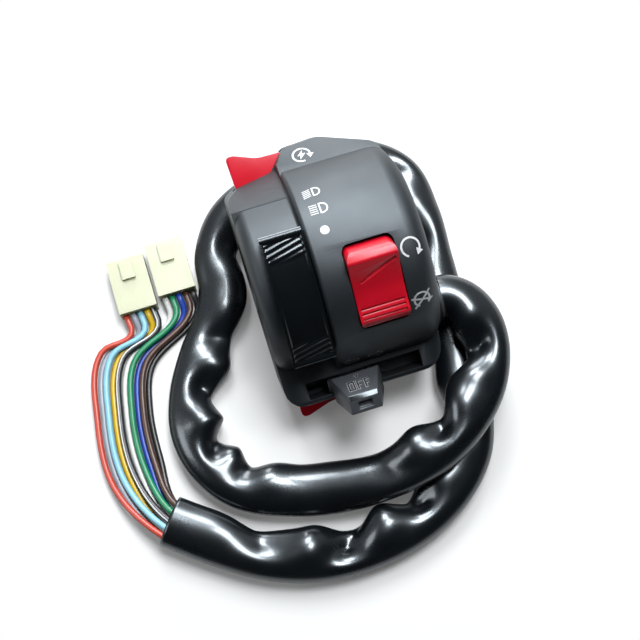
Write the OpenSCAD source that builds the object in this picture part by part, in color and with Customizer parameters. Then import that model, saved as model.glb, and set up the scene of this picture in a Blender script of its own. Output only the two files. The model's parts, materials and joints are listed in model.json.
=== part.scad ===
// Handlebar switch cluster for a 22 mm bar, lying on its back as it would on a bench.
// X runs along the bar, Z is up from the bench, and the origin is on the bar's axis.
// Inside lay() the axes turn with the cluster: -Y is its front, +Z its top.

/* [Bar and pose] */
// Diameter of the bar bore
bar_d = 22.2; // [21.6:0.1:22.6]
// Angle that the front of the cluster is turned up from the bench
tilt = 66; // [64:0.5:68]

/* [Housing] */
// Distance from the middle of the bar bore to the grip end
grip_end = 24.5; // [24:0.5:28]
// Distance from the middle of the bar bore to the cable end
cable_end = 24; // [23.5:0.5:25]
// Radius of the main barrel of the front shell
barrel_r = 30; // [29:0.25:31]
// Height of the step from the slider track up to the main barrel
step_h = 3.5; // [3:0.1:4.5]
// Place of the step along the bar
step_x = -8; // [-8.4:0.1:-7.6]
// Height of the hump on top, from the bar's axis
hump_top = 34.3; // [33.5:0.1:36]
// Depth of the rear shell behind the bar's axis
rear_depth = 18.7; // [18:0.1:19.5]
// How far the chin reaches below the barrel
chin_drop = 6; // [5.6:0.1:7]
// Front face of the chin, ahead of the bar's axis
chin_front = 16; // [15.8:0.1:16.6]

/* [Light slider] */
// Width of the slider along the bar
slider_w = 11.6; // [11:0.1:13]
// Turn from off to the last place
slider_turn = 21; // [18:0.5:22]
// Height of the slider above its track at the ends
slider_h = 5.6; // [4.8:0.1:6.4]

/* [Kill rocker] */
// Width of the rocker window along the bar
kill_w = 14.5; // [13.5:0.1:15]
// Height of the rocker window round the barrel
kill_h = 24.6; // [23.6:0.1:25.2]
// Full rock of the rocker
kill_rock = 16; // [12:0.5:18]
// Diameter of the rocker's pivot pin
kill_pin_d = 3; // [2.4:0.1:3.2]

/* [Turn switch] */
// Width of the turn knob where it meets the slot
knob_w = 14.4; // [12:0.1:15]
// Travel of the knob to each side
knob_travel = 5.5; // [4:0.1:5.6]
// Travel of the knob when it is pushed in to cancel
knob_push = 2; // [1.2:0.1:2.1]
// How far the knob stands out from the chin
knob_reach = 9; // [8:0.1:10]

/* [Paddles] */
// Thickness of the starter paddle
starter_t = 4.2; // [3.8:0.1:4.3]
// Thickness of the horn paddle
horn_t = 3.7; // [3.4:0.1:3.8]
// Diameter of the paddle pins
paddle_pin_d = 2.4; // [2:0.1:2.6]
// Swing of a paddle when it is pressed
paddle_swing = 7; // [5:0.5:7.5]

/* [Cable] */
// Diameter of the cable nipple
nipple_d = 13.2; // [12.6:0.1:13.4]
// Diameter of a wire
wire_d = 1.9; // [1.5:0.1:2]
// Width of a connector housing
plug_w = 11.6; // [11.2:0.1:12]
// Height of a connector housing
plug_h = 6.2; // [6.1:0.1:6.4]
// Length of a connector housing
plug_l = 17; // [14:0.5:20]

/* [Fits] */
// Gap between a fixed piece and a moving one
gap = 0.3; // [0.25:0.05:0.35]
// Radial clearance of a pin in its bore
fit = 0.03; // [0.02:0.01:0.06]
// Radial clearance of a screw in its hole
screw_gap = 0.15; // [0.1:0.05:0.2]

/* [Hidden] */
$fn = 64;

// Barrel: its axis lies ahead of the bar and a little below it
barrel_ahead = 5;
barrel_drop = 2;
track_r = barrel_r - step_h;
barrel_fillet = 6;
chin_bottom = barrel_drop + barrel_r + chin_drop;
part_drop = 13;
far = 80;

// Light slider, round the barrel's axis
slider_low = -42;
slider_high = 29;
slider_x1 = step_x - 0.5;
slider_x0 = slider_x1 - slider_w;
slider_mid_x = (slider_x0 + slider_x1) / 2;
foot_angle = -5;
foot_w = 5;
foot_l = 4.4;
foot_half_turn = asin(foot_w / 2 / (track_r - 6));
light_floor_r = track_r - 10;
light_roof_r = track_r - 3.5;
light_plate_t = 1.5;
light_ball_r = 1.5;
light_ball_place = light_floor_r + light_plate_t + gap + light_ball_r;
light_pocket_l = 10.4;
light_low = -42;
light_high = 46;
light_places = [0, slider_turn / 2, slider_turn];

// Kill rocker, in its window on the barrel
kill_x0 = 0;
kill_angle = -9.3;
kill_pivot_r = barrel_r - 5;
kill_floor = 9;
kill_base_t = 1.4;
kill_pin_r = kill_pin_d / 2;
kill_pin_hold = 3.4;
kill_end_r = kill_h / 2 - 0.4;
kill_end_gap = 1;
kill_corner = 2.2;
kill_under = 3.5;
kill_tube_r = 2.6;
kill_tube_end = 6.2;
kill_bore_r = 1.25;
kill_tip = 7.4;
kill_mid_x = kill_x0 + kill_w / 2;

// Turn switch, in the chin
knob_x = -4;
turn_x0 = -20.4;
turn_x1 = 17;
turn_front_wall = 2;
turn_roof = 8 - chin_bottom;
turn_floor = 1.4 - chin_bottom;
turn_back = -5.4;
turn_front = turn_front_wall - chin_front;
slot_x0 = -18;
slot_x1 = 16;
slot_top = turn_roof - 1.4;
slot_low = turn_floor + 0.2;
carriage_w = 15.6;
carriage_y0 = turn_front + gap;
carriage_y1 = carriage_y0 + 6;
carriage_floor_t = 1.2;
stem_z = (slot_top + slot_low) / 2 - 0.3;
stem_h = 3.2;
stem_w = 8;
stem_end = carriage_y1 - carriage_floor_t - knob_push - 0.2;
knob_back = -chin_front - knob_push - gap;
push_spring_r = 1.3;
push_spring_seat = carriage_y1 - carriage_floor_t;
push_bore_depth = 6.7;
turn_ball_r = 1.2;
turn_ball_y = carriage_y1 - 0.5;
turn_ball_x = knob_x - 6;
guide_front = carriage_y1 + gap;

// Paddles: their walls, pivots [x, z] and contact blocks
starter_wall = 1.2;
starter_y = starter_wall + 0.4;
starter_pivot = [-6, 24];
horn_y1 = -0.6;
horn_pivot = [-6, 5 - chin_bottom];
paddle_x0 = -21.5;
paddle_x1 = -2;
paddle_gap = 0.4;
pin_r = paddle_pin_d / 2;
hub_r = 3;
spring_slot = 2.2;
block_x0 = -20.6;
block_x1 = -10;
starter_floor = 13.5;
horn_roof = horn_pivot[1] + 8.4;
leaf_t = 0.4;
button_h = 1;
paddle_l = 15;
press_drop = paddle_l * sin(paddle_swing) + gap + leaf_t + button_h;
starter_under = starter_pivot[1] - 1.5;
horn_under = horn_pivot[1] + 1;
starter_block_h = starter_under - press_drop - starter_floor;
horn_block_h = horn_roof - horn_under - press_drop;

// Screws: [x, z, seat of the head, end of the shank]
screw_r = 2;
screw_head_r = 3.6;
screw_head_h = 2.6;
nut_r = 3.2;
nut_l = 4;
top_screw = [12, 21.5, 8, -8];
low_screw = [7, -22.5, 5, -20.5];

// Cable: where it leaves, on the bench's own axes, and its route
cable_y = -21;
cable_z = -2.2;
nipple_in = 8;
nipple_out = 3;
nipple_flange = 1.2;
nipple_lip = 1.4;
nipple_rib = 0.4;
sleeve_sides = 12;
// Each point: place on the bench's axes, then half width and half height of the limp sleeve
sleeve_points = [
    [27.2, -21, -2.2, 6.2, 6.2], [30.8, -22.4, -2.2, 6.4, 6.2], [34, -26, -2.3, 6.8, 6],
    [35.8, -32, -2.5, 7.2, 5.6], [35, -39.5, -2.8, 7.5, 5.2], [30.5, -49, -3, 7.5, 5],
    [23, -56.5, -3, 7.5, 5], [13.5, -62, -3.8, 7.5, 5], [3.8, -64.5, -6.5, 7.5, 5],
    [-6.4, -65, -10, 7.5, 5], [-17, -64.3, -13, 7.5, 5], [-30.5, -61, -14, 7.5, 5],
    [-43, -55.2, -14, 7.5, 5], [-50, -46.5, -14, 7.5, 5], [-52.3, -35.5, -14, 7.5, 5],
    [-49.7, -25, -14.4, 7.5, 4.6], [-43.5, -14, -15.1, 7.5, 3.9], [-36.5, -4.5, -15.1, 7.2, 3.9],
    [-32.8, 4.5, -15.1, 7, 3.9], [-31.2, 14.6, -15, 7, 4], [-24, 24.8, -14.4, 7, 4.6],
    [-10.5, 30.5, -14, 7, 5], [5, 32, -14, 7, 5], [19.5, 31.3, -14, 7, 5],
    [30.2, 23.2, -14.2, 6.6, 4.8], [32.8, 9.5, -14.2, 6, 4.8], [31.8, -6, -14.2, 6, 4.8],
    [30.8, -20, -14.2, 6, 4.8], [29.6, -31, -14.2, 6.4, 4.8], [28, -42, -14.2, 7, 4.8],
    [26.5, -53, -14, 7.5, 5], [22.3, -64.5, -14, 7.5, 5], [14.5, -72.7, -14, 7.5, 5],
    [3, -78.9, -14, 7.5, 5], [-12.5, -82, -14, 7.5, 5], [-28, -81.2, -14, 7.5, 5],
    [-42, -76.4, -14, 7.5, 5], [-54.6, -68.3, -14, 7.5, 5], [-66.6, -58.8, -14, 7.5, 5],
];
sleeve_start = [1, 0, 0];
sleeve_end = unit([-12, 9.5, 0]);
mouth = [-66.6, -58.8, -14];

// Wires: the fan's middle line on the bench, with the outward side of the fan at each point
fan_points = [[-72.4, -42, -17.2], [-71.7, -24, -17.2], [-66.5, -8, -17.2]];
fan_sides = [[-0.96, -0.28, 0], [-1, 0.05, 0], [-0.85, 0.53, 0]];
fan_step = 1.75;
fan_rise = 0.85;
fan_lead = 6;
mouth_step = 2.4;
mouth_rows = 1.5;
plug_dir = [0, 1, 0];
plug_side = [-1, 0, 0];
plug_a = [-58.7, 5, -15.9];
plug_b = [-46, 7, -15.9];
plug_pitch = 2.15;
pin_hole_r = 0.7;
pin_tip = 6.5;
wire_sides = 8;

// Shapes and curves that repeat
function unit(a) = a / norm(a);
function flat(a) = [a[0], a[1]];
function turned(from, to) = ((to - from + 540) % 360) - 180;

// Points of a corner b between a and c, rounded by r
function corner(a, b, c, r, n) =
    r <= 0 ? [b] :
    let (u = unit(a - b), w = unit(c - b), half = acos(u * w) / 2)
    let (o = b + unit(u + w) * r / sin(half), p = b + u * r / tan(half), q = b + w * r / tan(half))
    let (from = atan2(p[1] - o[1], p[0] - o[0]), to = atan2(q[1] - o[1], q[0] - o[0]))
    [for (i = [0:n]) let (t = from + turned(from, to) * i / n) o + r * [cos(t), sin(t)]];

// Outline whose points carry a corner radius
function rounded(pts, n = 5) = [
    for (i = [0:len(pts) - 1])
        let (a = pts[(i + len(pts) - 1) % len(pts)], b = pts[i], c = pts[(i + 1) % len(pts)])
        each corner(flat(a), flat(b), flat(c), b[2], n)
];

// Direction of a route at point i, with set directions at its ends
function heading(pts, i, first, last) =
    i == 0 ? first : i == len(pts) - 1 ? last :
    unit(unit(pts[i + 1] - pts[i]) + unit(pts[i] - pts[i - 1]));

// Ring of an upright oval section across a direction
function ring(place, dir, half_w, half_h, sides) =
    let (side = unit(cross(dir, [0, 0, 1])), up = cross(side, dir))
    [for (k = [0:sides - 1]) let (t = 360 * k / sides)
        place + side * half_w * cos(t) + up * half_h * sin(t)];

// Ring of a coil's wire, square to its axis of winding
function coil_ring(r, wire_r, rise, a, sides) =
    [for (k = [0:sides - 1])
        let (t = 360 * k / sides, d = r + wire_r * cos(t))
        [d * cos(a), d * sin(a), rise + wire_r * sin(t)]];

// Closed tube through rings of points
module tube(rings) {
    sides = len(rings[0]);
    last = len(rings) - 1;
    polyhedron(
        points = [for (one = rings) each one],
        faces = concat(
            [for (i = [0:last - 1]) for (k = [0:sides - 1]) let (m = (k + 1) % sides)
                each [[i * sides + k, i * sides + m, (i + 1) * sides + m],
                      [i * sides + k, (i + 1) * sides + m, (i + 1) * sides + k]]],
            [for (k = [1:sides - 2]) [0, k + 1, k]],
            [for (k = [1:sides - 2]) [last * sides, last * sides + k, last * sides + k + 1]]
        )
    );
}

// Coil spring standing on Z, of a height, a mean radius and a wire
module coil(h, r, wire_r, turns) {
    steps = turns * 8;
    pitch = (h - 2 * wire_r) / turns;
    tube([for (i = [0:steps]) coil_ring(r, wire_r, wire_r + pitch * i / 8, 45 * i, 6)]);
}

// Cluster frame, turned back on the bench
module lay() {
    rotate([-tilt, 0, 0]) children();
}

// Outline across the bar, drawn in Y and Z, run along the bar
module along(x0, x1) {
    translate([x0, 0, 0]) rotate([90, 0, 90]) linear_extrude(x1 - x0) children();
}

// Outline drawn in X and Z, run from front to back
module through(y0, y1) {
    translate([0, y1, 0]) rotate([90, 0, 0]) linear_extrude(y1 - y0) children();
}

// Rod along the bar, from x0 to x1, at a place across it
module rod_x(x0, x1, r, y = 0, z = 0) {
    translate([x0, y, z]) rotate([0, 90, 0]) cylinder(h = x1 - x0, r = r);
}

// Rod from front to back
module rod_y(y0, y1, r, x, z) {
    translate([x, y0, z]) rotate([-90, 0, 0]) cylinder(h = y1 - y0, r = r);
}

// Rod between two points
module rod(a, b, r) {
    v = b - a;
    translate(a) rotate([0, acos(v[2] / norm(v)), atan2(v[1], v[0])]) cylinder(h = norm(v), r = r);
}

// Box between two corners
module span(a, b) {
    translate(a) cube(b - a);
}

// Barrel frame: -Y points out of the barrel at an angle above the front
module on_barrel(angle = 0) {
    translate([0, -barrel_ahead, -barrel_drop]) rotate([-angle, 0, 0]) children();
}

// Sector round the barrel's axis, from angle a0 up to a1
module sector(a0, a1, r0, r1, x0, x1) {
    on_barrel() rotate([0, 90, 0]) rotate([0, 0, 270 - a1]) rotate_extrude(angle = a1 - a0)
        translate([r0, x0]) square([r1 - r0, x1 - x0]);
}

// Frame of the kill rocker, on its pivot
module kill_frame() {
    on_barrel(kill_angle) translate([0, -kill_pivot_r, 0]) children();
}

// Outline of the cluster seen from the front
module front_outline() {
    polygon(rounded([
        [-grip_end, -far, 0], [-grip_end, hump_top - 10.2, 3], [-grip_end + 4, hump_top - 8, 3],
        [step_x - 1.5, hump_top - 6.3, 2], [step_x + 3.5, hump_top - 0.6, 3], [6, hump_top, 6],
        [cable_end - 3, hump_top - 5.5, 4], [cable_end, hump_top - 17, 5], [cable_end, -far, 0],
    ]));
}

// Barrel with its step, turned round its own axis
module barrel() {
    on_barrel() rotate([0, 90, 0]) rotate_extrude() polygon(rounded([
        [0, -grip_end, 0], [track_r, -grip_end, 3.5], [track_r, step_x, 0.8],
        [barrel_r, step_x, 1.2], [barrel_r, cable_end, barrel_fillet], [0, cable_end, 0],
    ]));
}

// Sloping face of the hump, and the flat facet over the slider track
module hump() {
    along(step_x, cable_end) polygon(rounded([
        [0, 0, 0], [0, hump_top + 1, 0], [-1.5, hump_top + 1, 2], [-14, 23.5, 12], [-14, 0, 0],
    ]));
    along(-grip_end, step_x) polygon([[0, 0], [0, track_r + 1.8], [-18.5, track_r - 5.5], [-18.5, 0]]);
}

// Half of the cluster that the front shell takes
module front_half() {
    along(-far, far) polygon([
        [0, far], [0, -part_drop], [-chin_front, -part_drop], [-chin_front, -far], [-far, -far], [-far, far],
    ]);
}

module bar_bore() {
    rod_x(-far, far, bar_d / 2);
}

// Hole for a screw's shank, with the seat of its head
module screw_hole(s) {
    rod_y(s[3] - 1, s[2] + 1, screw_r + screw_gap, s[0], s[1]);
    rod_y(s[2], far, screw_head_r + 2 * screw_gap, s[0], s[1]);
}

module light_pocket() {
    sector(light_low, light_high, light_floor_r, light_roof_r,
        slider_mid_x - light_pocket_l / 2, slider_mid_x + light_pocket_l / 2);
    sector(foot_angle - foot_half_turn - 2, foot_angle + foot_half_turn + slider_turn + 2,
        light_roof_r - 1, barrel_r,
        slider_mid_x - foot_l / 2 - gap, slider_mid_x + foot_l / 2 + gap);
}

// Outline of the rocker window, drawn in by a gap at its sides and at its ends
module kill_outline(side_gap = 0, end_gap = 0) {
    r = kill_corner - side_gap;
    x0 = kill_x0 + side_gap;
    x1 = kill_x0 + kill_w - side_gap;
    z1 = kill_h / 2 - end_gap;
    polygon(rounded([[x0, -z1, r], [x1, -z1, r], [x1, z1, r], [x0, z1, r]]));
}

module kill_pocket() {
    kill_frame() {
        through(-far / 2, kill_floor) kill_outline();
        rod_x(kill_x0 - kill_pin_hold, kill_x0 + kill_w + kill_pin_hold, kill_pin_r);
    }
}

module front_shell() {
    color("#26282b") lay() difference() {
        intersection() {
            union() {
                barrel();
                hump();
            }
            through(-far, far) front_outline();
            front_half();
        }
        bar_bore();
        light_pocket();
        kill_pocket();
        for (s = [top_screw, low_screw])
            rod_y(s[3] - 1, far, nut_r, s[0], s[1]);
    }
}

// Outline of the rear shell across the bar, with its flat rest on the bench
module rear_profile() {
    rest_run = 33 / tan(tilt);
    polygon(rounded([
        [0, hump_top + 1, 0], [7.5, hump_top + 1, 5], [rear_depth - 1.5, 16, 9], [rear_depth, -5, 4],
        [rear_depth - rest_run, -chin_bottom, 2], [-chin_front, -chin_bottom, 1.5],
        [-chin_front, -part_drop, 0], [0, -part_drop, 0],
    ]));
}

// Outline of the rear shell from above and from the front
module rear_limits() {
    intersection() {
        through(-far, far) front_outline();
        through(-far, far) polygon(rounded([
            [-grip_end, far, 0], [-grip_end, -chin_bottom, 6], [cable_end - 2, -chin_bottom, 7],
            [cable_end, -part_drop, 6], [cable_end, far, 0],
        ]));
        translate([0, 0, -far]) linear_extrude(2 * far) polygon(rounded([
            [-grip_end, -far, 0], [cable_end, -far, 0],
            [cable_end, rear_depth, 6], [-grip_end, rear_depth, 6],
        ]));
    }
}

module starter_cavity() {
    y1 = starter_y + starter_t + paddle_gap;
    span([paddle_x0, starter_wall, starter_floor], [paddle_x1, y1, far]);
    rod_y(0.3, y1 + 2.6, pin_r, starter_pivot[0], starter_pivot[1]);
}

module horn_cavity() {
    y0 = horn_y1 - horn_t - paddle_gap;
    span([paddle_x0, y0, -far], [paddle_x1, horn_y1 + paddle_gap, horn_roof]);
    rod_y(y0 - 0.3, horn_y1 + 3, pin_r, horn_pivot[0], horn_pivot[1]);
}

module turn_cavity() {
    span([turn_x0, turn_front, turn_floor], [turn_x1, turn_back, turn_roof]);
    span([slot_x0, -far, slot_low], [slot_x1, turn_front + 1, slot_top]);
    span([-12, turn_front + 1, turn_roof - 1], [10, turn_back - 3, turn_roof + 1]);
}

module rear_shell() {
    color("#303235") difference() {
        lay() difference() {
            intersection() {
                along(-grip_end, cable_end) rear_profile();
                rear_limits();
            }
            bar_bore();
            starter_cavity();
            horn_cavity();
            turn_cavity();
            for (s = [top_screw, low_screw])
                screw_hole(s);
        }
        rod_x(cable_end - nipple_in, far, nipple_d / 2, cable_y, cable_z);
    }
}

module shell_screws() {
    color("#b9bcc0") lay() for (s = [top_screw, low_screw])
        difference() {
            union() {
                rod_y(s[3], s[2] + 1, screw_r, s[0], s[1]);
                rod_y(s[2], s[2] + screw_head_h, screw_head_r, s[0], s[1]);
            }
            for (a = [0, 90])
                translate([s[0], s[2] + screw_head_h, s[1]]) rotate([0, a, 0])
                    cube([4, 2, 0.8], center = true);
        }
}

module insert_nuts() {
    color("#c9a75a") lay() for (s = [top_screw, low_screw])
        difference() {
            rod_y(s[3] + 0.5, s[3] + 0.5 + nut_l, nut_r, s[0], s[1]);
            rod_y(s[3], s[3] + nut_l + 1, screw_r + fit, s[0], s[1]);
        }
}

// Light slider: a saddle that rides the track, hollow in the middle and ridged at both ends
module light_slider() {
    mid = (slider_low + slider_high) / 2;
    half = (slider_high - slider_low) / 2;
    groove_r = 0.7;
    rim = 0.9;
    function crown(a) = track_r + 3.2 + (slider_h - 3.2) * pow(abs(a - mid) / half, 2.5);
    function at(a, r) = [-r * cos(a), r * sin(a)];
    color("#101012") lay() difference() {
        union() {
            difference() {
                on_barrel() along(slider_x0, slider_x1) polygon(concat(
                    [at(slider_low, track_r - 2)],
                    [for (a = [slider_low:5:slider_high]) at(a, crown(a))],
                    [at(slider_high + 3, track_r - 2)]
                ));
                on_barrel() rod_x(-far, far, track_r + gap);
                for (side = [-1, 1])
                    for (k = [0:2])
                        let (a = mid + side * (half - 4.5 - 4.5 * k))
                        on_barrel() rod_x(slider_x0 + rim, slider_x1 - rim, groove_r,
                            at(a, crown(a) + 0.25)[0], at(a, crown(a) + 0.25)[1]);
            }
            on_barrel(foot_angle) span(
                [slider_mid_x - foot_l / 2, -track_r - 1.5, -foot_w / 2],
                [slider_mid_x + foot_l / 2, -light_roof_r + 0.6, foot_w / 2]);
        }
        light_spring_bore();
    }
}

// Bore for the ball and spring, through the carrier and up into the foot
module light_spring_bore() {
    on_barrel(foot_angle)
        rod_y(-track_r + 0.5, -light_ball_place + far / 8, light_ball_r + 0.1, slider_mid_x, 0);
}

module light_carrier() {
    half_l = light_pocket_l / 2 - gap;
    color("#d9d5c8") lay() difference() {
        on_barrel(foot_angle) span(
            [slider_mid_x - half_l, -light_roof_r + 0.6, -3.4],
            [slider_mid_x + half_l, -light_ball_place - 0.2, 3.4]);
        light_spring_bore();
    }
}

module light_detent_ball() {
    color("#c8cbd0") lay() on_barrel(foot_angle)
        translate([slider_mid_x, -light_ball_place, 0]) sphere(light_ball_r);
}

module light_detent_spring() {
    seat = light_ball_place + light_ball_r;
    color("#aeb2b8") lay() on_barrel(foot_angle) translate([slider_mid_x, -seat, 0]) rotate([90, 0, 0])
        coil(track_r - 0.5 - seat, light_ball_r - 0.3, 0.25, 4);
}

module light_contact_plate() {
    half_l = light_pocket_l / 2;
    color("#b98a4a") lay() difference() {
        sector(light_low, light_high, light_floor_r, light_floor_r + light_plate_t,
            slider_mid_x - half_l, slider_mid_x + half_l);
        for (a = light_places)
            on_barrel(foot_angle + a)
                rod_x(slider_mid_x - 2.4, slider_mid_x + 2.4, light_ball_r + gap, -light_ball_place - 0.2);
    }
}

// Kill rocker, drawn flat about its pivot and then turned to its rest
module kill_pose() {
    kill_frame() rotate([kill_rock / 2, 0, 0]) children();
}

module kill_rocker() {
    crest = kill_end_r - 3;
    x0 = kill_x0 + gap;
    x1 = kill_x0 + kill_w - gap;
    color("#c3161f") lay() kill_pose() difference() {
        union() {
            intersection() {
                rod_x(x0, x1, kill_end_r);
                through(-far, far) kill_outline(gap, kill_end_gap);
                along(x0, x1) polygon(rounded([
                    [kill_under, -far, 0], [-4.4, -far, 0], [-4.4, -kill_end_r, 0], [-6.3, -crest, 1.2],
                    [-5.2, -crest + 3.4, 0], [-4.5, 0, 20], [-5.2, crest - 3.4, 0], [-6.3, crest, 1.2],
                    [-4.4, kill_end_r, 0], [-4.4, far, 0], [kill_under, far, 0],
                ]));
            }
            rod_y(0, kill_tube_end, kill_tube_r, kill_mid_x, 0);
        }
        rod_x(-far, far, kill_pin_r + fit);
        rod_y(kill_pin_r + 0.4, kill_tube_end + 1, kill_bore_r, kill_mid_x, 0);
        for (k = [0:2])
            rod_x(x0 + 0.8, x1 - 0.8, 0.45, -5.2 - 0.3 * k, -crest + 3.4 - 1.4 * k);
        for (k = [0, 1])
            rod([x0 + 2.4 + 2 * k, -4.8, 2.2 + 1.2 * k], [x1 - 0.8, -5.7, crest - 2 + 0.7 * k], 0.4);
    }
}

module kill_pin() {
    color("#c8cbd0") lay() kill_frame()
        rod_x(kill_x0 - kill_pin_hold, kill_x0 + kill_w + kill_pin_hold, kill_pin_r);
}

module kill_base() {
    color("#d9d5c8") lay() kill_frame() difference() {
        union() {
            through(kill_floor - kill_base_t, kill_floor) kill_outline();
            for (side = [-1, 1])
                rod_y(kill_under + 2.4, kill_floor - 0.5, 1, kill_mid_x, 6.5 * side);
        }
        rod_x(-far, far, kill_tip + gap);
    }
}

module kill_bridge() {
    color("#c98a4b") lay() kill_pose() difference() {
        span([kill_mid_x - 3.2, kill_under, -6.8], [kill_mid_x + 3.2, kill_under + 1, 6.8]);
        rod_y(0, far, kill_tube_r + 0.1, kill_mid_x, 0);
    }
}

module kill_plunger() {
    r = kill_bore_r - fit;
    color("#c8cbd0") lay() kill_pose() {
        rod_y(4.2, kill_tip - r, r, kill_mid_x, 0);
        translate([kill_mid_x, kill_tip - r, 0]) sphere(r);
    }
}

module kill_spring() {
    color("#aeb2b8") lay() kill_pose() translate([kill_mid_x, 4.2, 0]) rotate([90, 0, 0])
        coil(4.2 - kill_pin_r - 0.4, kill_bore_r - 0.3, 0.2, 2);
}

// Turn knob: a wedge that drops forward, with a stem into the carriage
module turn_knob() {
    tip = knob_back - knob_reach;
    half = knob_w / 2;
    nose = half - 3;
    color("#3a3c40") lay() difference() {
        union() {
            intersection() {
                along(knob_x - half, knob_x + half) polygon(rounded([
                    [knob_back, stem_z + 2.6, 0], [knob_back - 1.2, stem_z + 2.6, 0.6],
                    [tip + 0.6, stem_z - 1.8, 0.8], [tip, stem_z - 3.2, 0.6],
                    [tip + 0.5, stem_z - 7.6, 0.8], [knob_back, stem_z - 4.4, 0],
                ]));
                translate([knob_x, 0, -far]) linear_extrude(far) polygon([
                    [-half, knob_back], [half, knob_back], [nose, tip], [-nose, tip],
                ]);
            }
            span([knob_x - stem_w / 2, knob_back - 1, stem_z - stem_h / 2],
                [knob_x + stem_w / 2, stem_end, stem_z + stem_h / 2]);
        }
        rod_y(stem_end - push_bore_depth, far, push_spring_r + 0.1, knob_x, stem_z);
        span([knob_x - 2, tip - 1, stem_z - 6], [knob_x + 2, tip + 1.6, stem_z - 4]);
    }
}

module turn_carriage() {
    half = carriage_w / 2;
    clear = 0.2;
    color("#d9d5c8") lay() difference() {
        span([knob_x - half, carriage_y0, turn_floor + clear], [knob_x + half, carriage_y1, turn_roof - 1.2]);
        span([knob_x - stem_w / 2 - clear, -far, stem_z - stem_h / 2 - clear],
            [knob_x + stem_w / 2 + clear, push_spring_seat, stem_z + stem_h / 2 + clear]);
        rod_y(turn_ball_y - 3.2, far, turn_ball_r + 0.1, turn_ball_x, stem_z);
    }
}

module turn_guide_plate() {
    color("#b98a4a") lay() difference() {
        span([turn_x0, guide_front, turn_floor], [turn_x1, turn_back, turn_roof]);
        rod_x(turn_ball_x - knob_travel - 2, turn_ball_x + knob_travel + 2, turn_ball_r + gap,
            turn_ball_y, stem_z);
    }
}

module turn_push_spring() {
    color("#aeb2b8") lay() translate([knob_x, push_spring_seat, stem_z]) rotate([90, 0, 0])
        coil(push_spring_seat - stem_end + push_bore_depth - knob_push - gap, push_spring_r - 0.3, 0.25, 5);
}

module turn_detent_ball() {
    color("#c8cbd0") lay() translate([turn_ball_x, turn_ball_y, stem_z]) sphere(turn_ball_r);
}

module turn_detent_spring() {
    color("#aeb2b8") lay() translate([turn_ball_x, turn_ball_y - turn_ball_r, stem_z]) rotate([90, 0, 0])
        coil(3.2 - turn_ball_r, turn_ball_r - 0.3, 0.2, 2);
}

module turn_contact_board() {
    color("#c98a4b") lay() span([-12, turn_front + 1, turn_roof - 1], [10, turn_back - 3, turn_roof + 1]);
}

// Starter paddle: a fin with a hollow top, highest at its free end
module starter_paddle() {
    px = starter_pivot[0];
    pz = starter_pivot[1];
    color("#d01820") lay() difference() {
        through(starter_y, starter_y + starter_t) polygon(rounded([
            [px - paddle_l + 0.6, starter_under, 1], [px - paddle_l, pz + 11.6, 1.2],
            [px - 12.5, pz + 11.5, 1], [px - 6, pz + 9, 8], [px + 2.6, pz + 8.8, 2],
            [px + 3, pz - 3, 2.5], [px - 4, pz - 3, 2],
        ]));
        paddle_hub(starter_y, starter_t, starter_pivot);
    }
}

// Bore of a paddle's pin, with the slot that its spring sits in
module paddle_hub(y, t, pivot) {
    rod_y(-far, far, pin_r + fit, pivot[0], pivot[1]);
    rod_y(y + (t - spring_slot) / 2, y + (t + spring_slot) / 2, hub_r + 0.6, pivot[0], pivot[1]);
}

module starter_pin() {
    color("#c8cbd0") lay()
        rod_y(0.3, starter_y + starter_t + paddle_gap + 2.6, pin_r, starter_pivot[0], starter_pivot[1]);
}

// Torsion spring round a paddle's pin
module hub_spring(y, t, pivot) {
    h = spring_slot - 2 * paddle_gap;
    color("#aeb2b8") lay() translate([pivot[0], y + (t + h) / 2, pivot[1]]) rotate([90, 0, 0])
        coil(h, pin_r + 0.5, 0.2, 1);
}

module starter_spring() {
    hub_spring(starter_y, starter_t, starter_pivot);
}

// Contact leaf with its button, on the side of the block that faces the paddle
module contact_leaf(y0, y1, z, up) {
    color("#c98a4b") lay() {
        span([block_x0, y0, min(z, z + up * leaf_t)], [block_x1, y1, max(z, z + up * leaf_t)]);
        translate([block_x0 + 3, (y0 + y1) / 2, z + up * (leaf_t - 0.1)]) rotate([up > 0 ? 0 : 180, 0, 0])
            cylinder(h = button_h + 0.1, r = 1.2);
    }
}

module starter_contact_leaf() {
    contact_leaf(starter_y, starter_y + starter_t, starter_floor + starter_block_h, 1);
}

module starter_contact_block() {
    color("#d9d5c8") lay()
        span([block_x0, starter_y, starter_floor],
            [block_x1, starter_y + starter_t, starter_floor + starter_block_h]);
}

// Horn paddle: the same fin below the chin
module horn_paddle() {
    px = horn_pivot[0];
    pz = horn_pivot[1];
    color("#d01820") lay() difference() {
        through(horn_y1 - horn_t, horn_y1) polygon(rounded([
            [px - paddle_l + 0.6, horn_under, 1], [px - paddle_l, pz - 10.4, 1.2],
            [px - 12.8, pz - 10.4, 1], [px - 6, pz - 8.3, 8], [px + 2.6, pz - 7.6, 2],
            [px + 3, pz + 3, 2.5], [px - 4, pz + 3, 2],
        ]));
        paddle_hub(horn_y1 - horn_t, horn_t, horn_pivot);
    }
}

module horn_pin() {
    color("#c8cbd0") lay()
        rod_y(horn_y1 - horn_t - paddle_gap - 0.3, horn_y1 + 3, pin_r, horn_pivot[0], horn_pivot[1]);
}

module horn_spring() {
    hub_spring(horn_y1 - horn_t, horn_t, horn_pivot);
}

module horn_contact_leaf() {
    contact_leaf(horn_y1 - horn_t, horn_y1, horn_roof - horn_block_h, -1);
}

module horn_contact_block() {
    color("#d9d5c8") lay()
        span([block_x0, horn_y1 - horn_t, horn_roof - horn_block_h], [block_x1, horn_y1, horn_roof]);
}

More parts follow.
